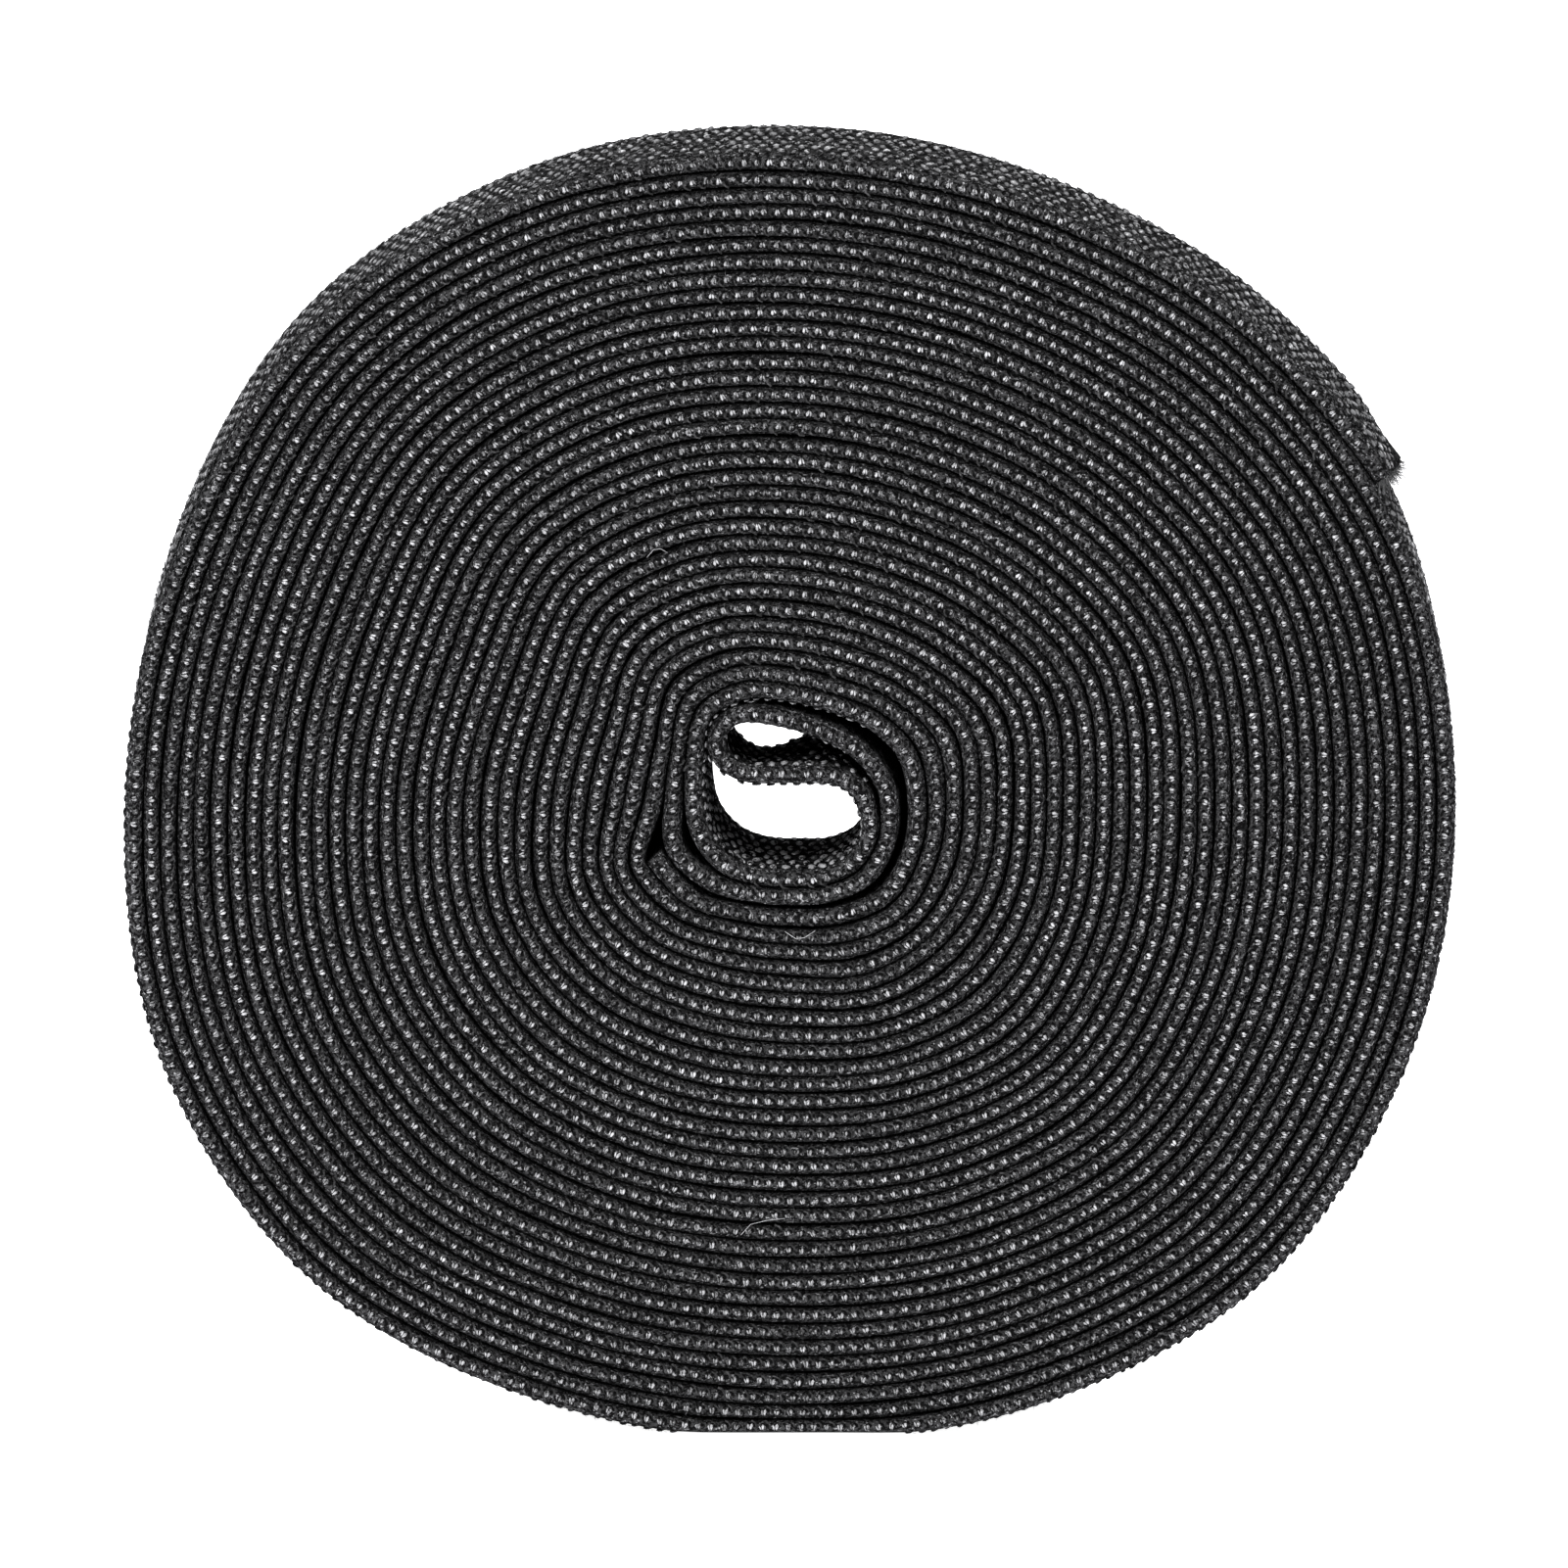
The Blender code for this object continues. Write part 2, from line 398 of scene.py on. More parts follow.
def makeBand(material):
    # a flat grid, as long as the band and as wide as its girth, is rolled up along the way
    steps = bandSteps()
    ring = sectionRing()
    closed = ring + ring[:1]
    halfway = len(ring) // 2
    girth = girthAround(closed)
    bm = bmesh.new()
    bmesh.ops.create_grid(bm, x_segments=len(steps) - 1, y_segments=len(ring), size=0.5)
    uv = bm.loops.layers.uv.new("alongBand")
    fromEdge = bm.verts.layers.float.new("fromEdge")
    pressedHere = bm.verts.layers.float.new("pressed")
    x, z, nx, nz = along(steps)
    room = {(face, part): halfAt(steps, face, part) for face in (1, -1) for part in (-1, 0, 1)}
    slack = band["freeHalf"] - band["pressedHalf"]
    freedom = {
        key: np.clip((half - band["pressedHalf"]) / slack, 0, 1) for key, half in room.items()
    }
    rng = np.random.default_rng(band["seed"])
    leanFront, leanBack = lean(steps, 0.0), lean(steps, 1.0)
    drift = {side: wander(steps, side) for side in (-1, 1)}
    flat = {}
    for vert in bm.verts:
        i = round((vert.co.x + 0.5) * (len(steps) - 1))
        j = round((vert.co.y + 0.5) * len(ring))
        side, depth, pressed, free = closed[j]
        facing = (1 if free > 0 else -1, side)
        share = pressed + (free - pressed) * freedom[facing][i]
        fade = math.exp(-depth / band["wanderDepth"])
        sideways, inOut = (value[i] * fade for value in drift[side or -1])
        y = side * (band["width"] / 2 - depth) + inOut
        depthShare = y / band["width"] + 0.5
        towardsEnd = max(0, 1 - (bandLength - steps[i]) / band["endSlantOver"])
        slant = towardsEnd * np.interp(depthShare, (0, 1), band["endSlant"])
        slant += (i == len(steps) - 1) * rng.normal(0, band["endRagged"])
        out = share * room[facing][i]
        out += sideways + leanFront[i] + (leanBack[i] - leanFront[i]) * depthShare
        flat[vert] = ((steps[i] + slant) / mm, girth[j] / mm, j)
        distance = min(abs(girth[j] - girth[k]) for k in (0, halfway, len(ring)))
        vert[fromEdge] = min(distance / mm, band["edgeTold"]) * (1 if j <= halfway else -1)
        vert[pressedHere] = 1 - freedom[facing][i]
        height = max(0, z[i] + nz[i] * out - nx[i] * slant)  # flat on the table
        vert.co = (x[i] + nx[i] * out + nz[i] * slant, y, height)
    for face in bm.faces:
        onInner = min(flat[loop.vert][2] for loop in face.loops) >= halfway
        for loop in face.loops:
            u, v, _ = flat[loop.vert]
            loop[uv].uv = (u, v - girth[-1] / mm if onInner else v)
    bmesh.ops.remove_doubles(bm, verts=bm.verts, dist=band["mergeWithin"])
    bmesh.ops.holes_fill(bm, edges=[edge for edge in bm.edges if edge.is_boundary], sides=0)
    bmesh.ops.recalc_face_normals(bm, faces=bm.faces)
    return newPiece("elastic_cloth", bm, material)


# the shader groups that several materials share


def addNode(tree, kind, settings=None, **values):
    node = tree.nodes.new(kind)
    for key, value in (settings or {}).items():
        setattr(node, key, value)
    for key, value in values.items():
        numbered = key[0] == "i" and key[1:].isdigit()
        socket = node.inputs[int(key[1:]) if numbered else key]
        if isinstance(value, bpy.types.NodeSocket):
            tree.links.new(value, socket)
        else:
            socket.default_value = value
    return node


def maths(tree, operation, a, b=0.0):
    return addNode(tree, "ShaderNodeMath", settings={"operation": operation}, i0=a, i1=b).outputs[0]


def mapRange(tree, value, low, high, toLow=0.0, toHigh=1.0, smooth=False):
    settings = {"interpolation_type": "SMOOTHSTEP" if smooth else "LINEAR", "clamp": True}
    node = addNode(tree, "ShaderNodeMapRange", settings=settings, Value=value)
    keys = ("From Min", "From Max", "To Min", "To Max")
    for key, number in zip(keys, (low, high, toLow, toHigh)):
        node.inputs[key].default_value = number
    return node.outputs[0]


def newGroup(name, inputs, outputs):
    group = bpy.data.node_groups.new(name, "ShaderNodeTree")
    for label, kind, value in inputs:
        socket = group.interface.new_socket(label, in_out="INPUT", socket_type=kind)
        if value is not None:
            socket.default_value = value
    for label, kind in outputs:
        group.interface.new_socket(label, in_out="OUTPUT", socket_type=kind)
    return group, group.nodes.new("NodeGroupInput"), group.nodes.new("NodeGroupOutput")


speckleLook = {
    # noise scales, per metre
    "sparkScale": 4600.0,
    "holeScale": 4200.0,
    "mottleScale": 1700.0,
    "detail": 2.0,
    "mottleDetail": 3.0,
    "roughness": 0.7,
    "holesMoved": (0.31, 0.17, 0.23),  # away from the sparks
    # the noise at which each one starts and is full
    "sparks": (0.57, 0.68),
    "holes": (0.52, 0.42),
    "mottle": (0.3, 0.7),
}


def fibreSpeckleGroup():
    # bright filament ends and dark holes between filaments, over a softer mottle
    keys = ("Speckle", "Holes", "Mottle")
    group, given, result = newGroup(
        "fibreSpeckle",
        (("Vector", "NodeSocketVector", None),),
        [(key, "NodeSocketFloat") for key in keys],
    )
    where = given.outputs["Vector"]
    moved = addNode(group, "ShaderNodeVectorMath", settings={"operation": "ADD"}, i0=where)
    moved.inputs[1].default_value = speckleLook["holesMoved"]
    kinds = (
        (where, speckleLook["sparkScale"], speckleLook["detail"], speckleLook["sparks"]),
        (moved.outputs[0], speckleLook["holeScale"], speckleLook["detail"], speckleLook["holes"]),
        (where, speckleLook["mottleScale"], speckleLook["mottleDetail"], speckleLook["mottle"]),
    )
    for key, (place, scale, detail, between) in zip(keys, kinds):
        noise = addNode(group, "ShaderNodeTexNoise", Vector=place, Scale=scale, Detail=detail)
        noise.inputs["Roughness"].default_value = speckleLook["roughness"]
        group.links.new(mapRange(group, noise.outputs[0], *between), result.inputs[key])
    return group


knitLook = {
    "course": 0.79,  # mm of band in one stitch
    "wale": 3.125,  # mm of width in one column
    "ridge": (-1.0, 0.8),  # of the wave, from the foot of a stitch to its top
    "column": (0.5, 0.3),  # of a column's width, from its edge inwards
}


def knitFaceGroup():
    # columns of slanted stitches over the two faces of the band
    group, given, result = newGroup(
        "knitFace",
        (
            ("Vector", "NodeSocketVector", None),
            ("Course", "NodeSocketFloat", knitLook["course"]),
            ("Wale", "NodeSocketFloat", knitLook["wale"]),
        ),
        (("Height", "NodeSocketFloat"),),
    )
    parts = addNode(group, "ShaderNodeSeparateXYZ", i0=given.outputs["Vector"])
    wales = maths(group, "DIVIDE", parts.outputs["Y"], given.outputs["Wale"])
    waleShare = maths(group, "FRACT", wales)
    fromMiddle = maths(group, "ABSOLUTE", maths(group, "SUBTRACT", waleShare, 0.5))
    courses = maths(group, "DIVIDE", parts.outputs["X"], given.outputs["Course"])
    slanted = maths(group, "ADD", courses, fromMiddle)
    wave = maths(group, "SINE", maths(group, "MULTIPLY", slanted, 2 * math.pi))
    ridge = mapRange(group, wave, *knitLook["ridge"])
    column = mapRange(group, fromMiddle, *knitLook["column"], smooth=True)
    group.links.new(maths(group, "MULTIPLY", ridge, column), result.inputs["Height"])
    return group


def newMaterial(name):
    material = bpy.data.materials.new(name)
    material.use_nodes = True
    return material, material.node_tree, material.node_tree.nodes["Principled BSDF"]


def placeGroup(tree, group, vector):
    node = tree.nodes.new("ShaderNodeGroup")
    node.node_tree = group
    tree.links.new(vector, node.inputs["Vector"])
    return node.outputs


def mixColour(tree, share, a, b):
    node = addNode(tree, "ShaderNodeMix", settings={"data_type": "RGBA"})
    tree.links.new(share, node.inputs[0])
    for socket, value in ((node.inputs[6], a), (node.inputs[7], b)):
        if isinstance(value, bpy.types.NodeSocket):
            tree.links.new(value, socket)
        else:
            socket.default_value = value
    return node.outputs[2]


blueCast = 1.03  # the greys are a little cold


def grey(value):
    return (value, value, value * blueCast, 1.0)


def objectPlace(tree):
    return tree.nodes.new("ShaderNodeTexCoord").outputs["Object"]


def attribute(tree, name):
    return addNode(tree, "ShaderNodeAttribute", settings={"attribute_name": name}).outputs["Fac"]


def faceGrain(tree):
    # places for the grain of the band's faces
    drawn = addNode(tree, "ShaderNodeVectorMath", settings={"operation": "MULTIPLY"})
    tree.links.new(objectPlace(tree), drawn.inputs[0])
    drawn.inputs[1].default_value = clothLook["faceGrain"]
    return drawn.outputs[0]


def dress(tree, surface, look, colour, mottle, height=None):
    # the colour, and by the material's dictionary how rough, shiny and bumpy it is
    tree.links.new(colour, surface.inputs["Base Color"])
    smoother, rougher = look["roughness"]
    rough = mapRange(tree, mottle, 0, 1, rougher, smoother)
    tree.links.new(rough, surface.inputs["Roughness"])
    surface.inputs["Specular IOR Level"].default_value = look["specular"]
    if height is not None:
        bump = addNode(tree, "ShaderNodeBump", Height=height, Strength=1.0, Distance=look["bump"])
        tree.links.new(bump.outputs[0], surface.inputs["Normal"])


clothLook = {
    "dark": 0.020,
    "light": 0.066,
    "spark": 0.32,
    # the colour of the fibre holes, and of the painted shade in the loops' holes
    "hole": 0.005,
    "roughness": (0.75, 0.95),
    "specular": 0.0,
    "bump": 0.16 * mm,
    # painted shade: the band is painted darker where two turns press together, deep in the groove
    # between them
    "troughShade": (0.20, 0.58, 0.5),  # darker between two turns: from and to mm off the selvedge, share
    # painted shade: the faces are painted darker than the selvedges, for the shade in the pits
    # between their stitches
    "faceShade": 0.2,  # of the selvedges' lightness
    "faceGrain": (0.6, 0.14, 0.6),  # the grain is coarser on the faces, most so across the width
    # the painted shade of the hole beside each selvedge loop, in mm: place and half size, along and
    # across
    "holeAt": (-0.26, -0.20),
    "holeSize": (0.10, 0.18),
    "holeFade": (1.5, 0.5),  # from its rim to full dark, in squares of its half size
    "faceFrom": (0.9, 1.5),  # mm off the selvedge, where the face takes over
    "edgeHeight": 0.8,  # of the faces' highest stitches
}


def loopHoleShade(tree, unrolled, fromEdge):
    # painted shade: a dark hole painted on the inner side of each selvedge loop, where shade falls
    # into the pit
    u = addNode(tree, "ShaderNodeSeparateXYZ", i0=unrolled).outputs["X"]
    place = (loops["firstAt"] / mm + clothLook["holeAt"][0]) / (loops["pitch"] / mm) - 0.5
    turns = maths(tree, "SUBTRACT", maths(tree, "DIVIDE", u, loops["pitch"] / mm), place)
    beside = maths(tree, "SUBTRACT", maths(tree, "FRACT", turns), 0.5)
    a = maths(tree, "MULTIPLY", beside, loops["pitch"] / mm / clothLook["holeSize"][0])
    b = maths(tree, "SUBTRACT", fromEdge, clothLook["holeAt"][1])
    b = maths(tree, "DIVIDE", b, clothLook["holeSize"][1])
    squares = maths(tree, "ADD", maths(tree, "MULTIPLY", a, a), maths(tree, "MULTIPLY", b, b))
    return mapRange(tree, squares, *clothLook["holeFade"])


def clothMaterial(speckles, knit):
    material, tree, surface = newMaterial("black_knit")
    unrolled = addNode(tree, "ShaderNodeUVMap", settings={"uv_map": "alongBand"}).outputs[0]
    edge = attribute(tree, "fromEdge")
    fromEdge = maths(tree, "ABSOLUTE", edge)
    faceShare = mapRange(tree, fromEdge, *clothLook["faceFrom"])
    onEdge = placeGroup(tree, speckles, objectPlace(tree))
    onFaces = placeGroup(tree, speckles, faceGrain(tree))
    speckle, holes, mottle = (
        addNode(tree, "ShaderNodeMix", i0=faceShare, i2=onEdge[key], i3=onFaces[key]).outputs[0]
        for key in ("Speckle", "Holes", "Mottle")
    )
    stitches = placeGroup(tree, knit, unrolled)["Height"]
    mixed = addNode(tree, "ShaderNodeMix", i0=faceShare, i2=clothLook["edgeHeight"], i3=stitches)
    raised = mixed.outputs[0]
    # painted shade in the groove between pressed turns, and on the faces between their stitches
    near, far, darkest = clothLook["troughShade"]
    troughShade = mapRange(tree, fromEdge, near, far, smooth=True)
    troughShade = maths(tree, "MULTIPLY", troughShade, attribute(tree, "pressed"))
    faceShade = mapRange(tree, faceShare, 0, 1, 1, clothLook["faceShade"])
    shade = maths(tree, "MULTIPLY", faceShade, mapRange(tree, troughShade, 0, 1, 1, darkest))
    # the colour follows the knit's height, so the faces' grooves are painted shade
    lit = maths(tree, "MULTIPLY", maths(tree, "MULTIPLY", raised, mottle), shade)
    base = mixColour(tree, lit, grey(clothLook["dark"]), grey(clothLook["light"]))
    sparks = maths(tree, "MULTIPLY", speckle, shade)
    sparked = mixColour(tree, sparks, base, grey(clothLook["spark"]))
    # the fibre holes are grain, and the loops' holes are painted shade
    darkened = maths(tree, "MAXIMUM", holes, loopHoleShade(tree, unrolled, edge))
    colour = mixColour(tree, darkened, sparked, grey(clothLook["hole"]))
    height = maths(tree, "SUBTRACT", maths(tree, "ADD", raised, mottle), darkened)
    dress(tree, surface, clothLook, colour, mottle, height)
    return material


loopLook = {
    "dark": 0.010,
    # painted highlight: the light grey stands in for the glint of the black yarn's filaments, beside
    # the real specular
    "light": 0.60,
    "mottle": (0.1, 0.9, 0.75, 1.15),  # from and to, for these shares of the loop's own shade
    "sparks": 0.3,
    "holes": 0.4,
    "roughness": (0.32, 0.6),
    "specular": 0.5,
    "bump": 0.04 * mm,
}


def loopMaterial(speckles):
    material, tree, surface = newMaterial("shiny_loop_yarn")
    fibres = placeGroup(tree, speckles, objectPlace(tree))
    mottle = mapRange(tree, fibres["Mottle"], *loopLook["mottle"])
    lit = maths(tree, "MULTIPLY", attribute(tree, "shade"), mottle)
    sparks = maths(tree, "MULTIPLY", fibres["Speckle"], loopLook["sparks"])
    holes = maths(tree, "MULTIPLY", fibres["Holes"], loopLook["holes"])
    amount = maths(tree, "SUBTRACT", maths(tree, "ADD", lit, sparks), holes)
    colour = mixColour(tree, amount, grey(loopLook["dark"]), grey(loopLook["light"]))
    height = maths(tree, "SUBTRACT", fibres["Mottle"], fibres["Holes"])
    dress(tree, surface, loopLook, colour, fibres["Mottle"], height)
    return material


strandLook = {"dark": 0.008, "light": 0.06, "roughness": (0.6, 0.85), "specular": 0.3}


def strandMaterial(speckles):
    material, tree, surface = newMaterial("chain_yarn")
    fibres = placeGroup(tree, speckles, objectPlace(tree))
    lit = maths(tree, "MULTIPLY", fibres["Mottle"], attribute(tree, "shade"))
    sparked = maths(tree, "ADD", lit, fibres["Speckle"])
    amount = maths(tree, "SUBTRACT", sparked, fibres["Holes"])
    colour = mixColour(tree, amount, grey(strandLook["dark"]), grey(strandLook["light"]))
    dress(tree, surface, strandLook, colour, fibres["Mottle"])
    return material


stitchLook = {
    "dark": 0.010,
    # partly painted sheen: with no specular, the light grey stands in for the shine of the black
    # fibres at a grazing view
    "light": 0.37,
    "spark": 0.7,
    "leastMottle": 0.4,
    "roughness": (0.7, 0.95),
    "specular": 0.0,
    "bump": 0.08 * mm,
}


def stitchMaterial(speckles):
    material, tree, surface = newMaterial("face_stitch_yarn")
    fibres = placeGroup(tree, speckles, faceGrain(tree))
    shade = attribute(tree, "shade")
    mottle = mapRange(tree, fibres["Mottle"], 0, 1, stitchLook["leastMottle"], 1)
    lit = maths(tree, "MULTIPLY", mottle, shade)
    base = mixColour(tree, lit, grey(stitchLook["dark"]), grey(stitchLook["light"]))
    sparks = maths(tree, "MULTIPLY", fibres["Speckle"], shade)
    sparked = mixColour(tree, sparks, base, grey(stitchLook["spark"]))
    colour = mixColour(tree, fibres["Holes"], sparked, grey(stitchLook["dark"]))
    dress(tree, surface, stitchLook, colour, fibres["Mottle"], fibres["Mottle"])
    return material


fuzzLook = {"dark": 0.02, "light": 0.35, "roughness": 0.5}


def fuzzMaterial():
    material, tree, surface = newMaterial("loose_fibre")
    shade = attribute(tree, "shade")
    colour = mixColour(tree, shade, grey(fuzzLook["dark"]), grey(fuzzLook["light"]))
    tree.links.new(colour, surface.inputs["Base Color"])
    surface.inputs["Roughness"].default_value = fuzzLook["roughness"]
    return material


hairLook = {"dark": 0.25, "light": 0.55, "scale": 3000.0, "roughness": 0.4}


def hairMaterial():
    material, tree, surface = newMaterial("pale_hair")
    noise = addNode(tree, "ShaderNodeTexNoise", Vector=objectPlace(tree), Scale=hairLook["scale"])
    colour = mixColour(tree, noise.outputs[0], grey(hairLook["dark"]), grey(hairLook["light"]))
    tree.links.new(colour, surface.inputs["Base Color"])
    surface.inputs["Roughness"].default_value = hairLook["roughness"]
    return material


# copies of one small shape, joined into one piece


def copiesOf(bm, places, axes, shades, name, material, foot=1.0):
    # places (n, 3), axes (n, 3, 3) with a column for each of the shape's own axes, shades (n,),
    # and the share of its shade that the lowest point of a copy has, which paints shade on its lower
    # flanks
    bmesh.ops.triangulate(bm, faces=bm.faces)
    bm.verts.index_update()
    points = np.array([vert.co for vert in bm.verts])
    faces = np.array([[vert.index for vert in face.verts] for face in bm.faces])
    bm.free()
    if np.linalg.det(axes[0]) < 0:  # a mirrored copy would be inside out
        faces = faces[:, ::-1]
    count = len(places)
    placed = np.einsum("nij,vj->nvi", axes, points) + places[:, None, :]
    placed[:, :, 2] = np.maximum(placed[:, :, 2], 0)  # flat on the table
    corners = (faces[None] + (np.arange(count) * len(points))[:, None, None]).reshape(-1)
    mesh = bpy.data.meshes.new(name)
    mesh.vertices.add(count * len(points))
    mesh.vertices.foreach_set("co", placed.astype(np.float32).ravel())
    mesh.loops.add(len(corners))
    mesh.loops.foreach_set("vertex_index", corners.astype(np.int32))
    mesh.polygons.add(count * len(faces))
    mesh.polygons.foreach_set("loop_start", np.arange(0, len(corners), 3, dtype=np.int32))
    heights = points[:, 2]
    shadeTowardsFoot = np.interp(heights, (heights.min(), heights.max()), (foot, 1))
    shadeLayer = mesh.attributes.new("shade", "FLOAT", "POINT")
    shadeLayer.data.foreach_set("value", np.outer(shades, shadeTowardsFoot).astype(np.float32).ravel())
    mesh.update(calc_edges=True)
    mesh.validate()
    return asPiece(name, mesh, material)


def uneven(rng, count, spread, least, most):
    # factors near 1 for the three sizes of each copy
    return 1 + rng.normal(0, spread, (count, 1, 3)).clip(least, most)


def bandAxes(s, side):
    # columns: along the band, out of the selvedge, across the thickness
    _, _, nx, nz = along(s)
    zero = np.zeros_like(s)
    length = np.stack([nz, zero, -nx], axis=-1)
    out = np.stack([zero, zero + side, zero], axis=-1)
    across = np.stack([nx, zero, nz], axis=-1)
    return np.stack([length, out, across], axis=-1)


def turnedInPlane(axes, angle):
    # turns the along and across axes about the outward one
    c, s = np.cos(angle)[:, None], np.sin(angle)[:, None]
    length, out, across = axes[:, :, 0], axes[:, :, 1], axes[:, :, 2]
    return np.stack([length * c + across * s, out, across * c - length * s], axis=-1)


def directed(s, side, towards):
    # directions, given in parts along the band, out of the selvedge and across the thickness
    return np.einsum("nij,nj->ni", bandAxes(s, side), np.stack(towards, axis=-1))


sides = ((-1, "front"), (1, "back"))


loops = {
    "pitch": 0.79 * mm,
    "firstAt": 0.95 * mm,
    "clearOfEnd": 2.0 * mm,
    # a loop is two strands side by side, each with its half sizes along the band, out of it and
    # across it, and its place along the band
    "strands": (
        ((0.095 * mm, 0.16 * mm, 0.195 * mm), -0.052 * mm),
        ((0.055 * mm, 0.13 * mm, 0.175 * mm), 0.11 * mm),
    ),
    "converge": 0.2,  # towards the outer face
    "taper": 0.25,
    "jitter": 0.02 * mm,
    "tilt": (0.12, 0.15),  # middle and spread
    "sizes": (0.09, -0.35, 0.35),  # spread of the copies' sizes, and its limits
    "shade": (0.53, 0.13),  # middle and spread
    "leastShade": 0.08,
    "shadeAlong": 0.22,  # how much that varies slowly along the band
    "seed": 11,
}


def oneLoop():
    bm = bmesh.new()
    for sizes, place in loops["strands"]:
        made = bmesh.ops.create_icosphere(bm, subdivisions=1, radius=1)["verts"]
        for vert in made:
            vert.co.x *= 1 - loops["taper"] * vert.co.z
        bmesh.ops.scale(bm, verts=made, vec=sizes)
        turn = Matrix.Rotation(math.copysign(loops["converge"], -place), 3, "Y")
        bmesh.ops.rotate(bm, verts=made, matrix=turn)
        bmesh.ops.translate(bm, verts=made, vec=(place, 0, 0))
    bmesh.ops.recalc_face_normals(bm, faces=bm.faces)
    return bm


def loopPlaces(side):
    last = bandLength - loops["clearOfEnd"] + band["endSlant"][1 if side > 0 else 0]
    return np.arange(loops["firstAt"], last, loops["pitch"])


def shadesOf(rng, s, side):
    middle, spread = loops["shade"]
    slow = middle * (1 + loops["shadeAlong"] * slowWave(s, waves["shadeStart"] + side))
    return np.clip(slow + rng.normal(0, spread, len(s)), loops["leastShade"], 1)


def makeLoops(material):
    # in two halves a side, so that no piece is too large
    pieces = []
    tilt, tiltSpread = loops["tilt"]
    for side, sideName in sides:
        rng = np.random.default_rng(loops["seed"] + side)
        s = loopPlaces(side)
        s = s + rng.normal(0, loops["jitter"], len(s))
        places = onBand(s, side, rng.normal(0, loops["jitter"], len(s)), 0.0)
        axes = turnedInPlane(bandAxes(s, side), tilt + rng.normal(0, tiltSpread, len(s)))
        axes = axes * uneven(rng, len(s), *loops["sizes"])
        shades = shadesOf(rng, s, side)
        halfway = len(s) // 2
        for part, chosen in (("inner", slice(0, halfway)), ("outer", slice(halfway, None))):
            name = f"{sideName}_loops_{part}"
            copies = [values[chosen] for values in (places, axes, shades)]
            pieces.append(copiesOf(oneLoop(), *copies, name, material))
    return pieces


strands = {
    "radius": 0.065 * mm,
    # the strand before each loop: along, out and across, in mm from the loop
    "path": ((-0.45, -0.02, -0.02), (-0.37, 0.03, -0.24), (-0.15, -0.05, -0.36)),
    "jitter": 0.03 * mm,
    "turnSpread": 0.18,
    "sizes": (0.14, -0.3, 0.25),  # as the loops' sizes
    "shade": (0.7, 0.25),  # middle and spread
    "leastShade": 0.1,
    "seed": 31,
}


def drawnAlong(bm, path, radius):
    # a triangle is drawn along a path
    made = bmesh.ops.create_circle(bm, cap_ends=True, segments=3, radius=radius)
    ring = made["verts"]
    towards = (path[1] - path[0]).normalized()
    bmesh.ops.rotate(bm, verts=ring, matrix=towards.to_track_quat("Z", "Y").to_matrix())
    bmesh.ops.translate(bm, verts=ring, vec=path[0])
    face = ring[0].link_faces[0]
    for here, there in zip(path, path[1:]):
        extruded = bmesh.ops.extrude_face_region(bm, geom=[face])
        moved = [part for part in extruded["geom"] if isinstance(part, bmesh.types.BMVert)]
        newFace = next(part for part in extruded["geom"] if isinstance(part, bmesh.types.BMFace))
        turn = towards.rotation_difference((there - here).normalized())
        bmesh.ops.rotate(bm, verts=moved, cent=here, matrix=turn.to_matrix())
        bmesh.ops.translate(bm, verts=moved, vec=there - here)
        towards = (there - here).normalized()
        face = newFace
    bmesh.ops.recalc_face_normals(bm, faces=bm.faces)


def makeStrands(material):
    pieces = []
    for side, sideName in sides:
        rng = np.random.default_rng(strands["seed"] + side)
        s = loopPlaces(side)[1:-1]
        places = onBand(s, side, rng.normal(0, strands["jitter"], len(s)), 0.0)
        axes = turnedInPlane(bandAxes(s, side), rng.normal(0, strands["turnSpread"], len(s)))
        axes = axes * uneven(rng, len(s), *strands["sizes"])
        shades = rng.normal(*strands["shade"], len(s)).clip(strands["leastShade"], 1)
        bm = bmesh.new()
        drawnAlong(bm, [Vector(point) * mm for point in strands["path"]], strands["radius"])
        pieces.append(copiesOf(bm, places, axes, shades, f"{sideName}_strands", material))
    return pieces


faceStitches = {
    "columns": 7,  # across the width
    "alongBand": 0.26 * mm,  # half sizes of one stitch
    "acrossWidth": 1.5 * mm,
    "height": 0.12 * mm,
    "cutAt": -0.15,  # of the height, below which it is hidden
    "sunk": 0.01 * mm,
    "jitter": (0.03 * mm, 0.12 * mm),  # along the band and across its width
    "slope": (0.04, 0.05),  # middle and spread, and each column leans the other way
    "sizes": (0.12, -0.3, 0.3),  # as the loops' sizes
    # middle of the stitches' shades, and the share of it at the foot of a stitch, which is painted
    # shade; the eye's stitches are painted lighter than the rim's, painted light where little light
    # reaches into the eye
    "rimShade": (0.8, 0.15),
    "eyeShade": (1.7, 0.5),
    "shadeSpread": (0.25, 0.2, 1.5),  # and the limits of the share of the middle shade
    # painted shade: the column beside the back selvedge is painted darker, where the face rounds away
    # over it
    "backColumn": (0.3, 0.6),  # shares of the others' height and shade, beside the back selvedge
    "roomNeeded": 0.54 * mm,  # where less fits, the face is pressed and doesn't show
    # the stretches of band whose face shows in the eye: name, face, first and last knot
    "eye": (("eye_stitches_outer", 1, 9, 31), ("eye_stitches_inner", -1, 24, 34)),
    "clearOfEnd": 0.6 * mm,
    "eyeSeed": 71,
    "rimSeed": 73,
}


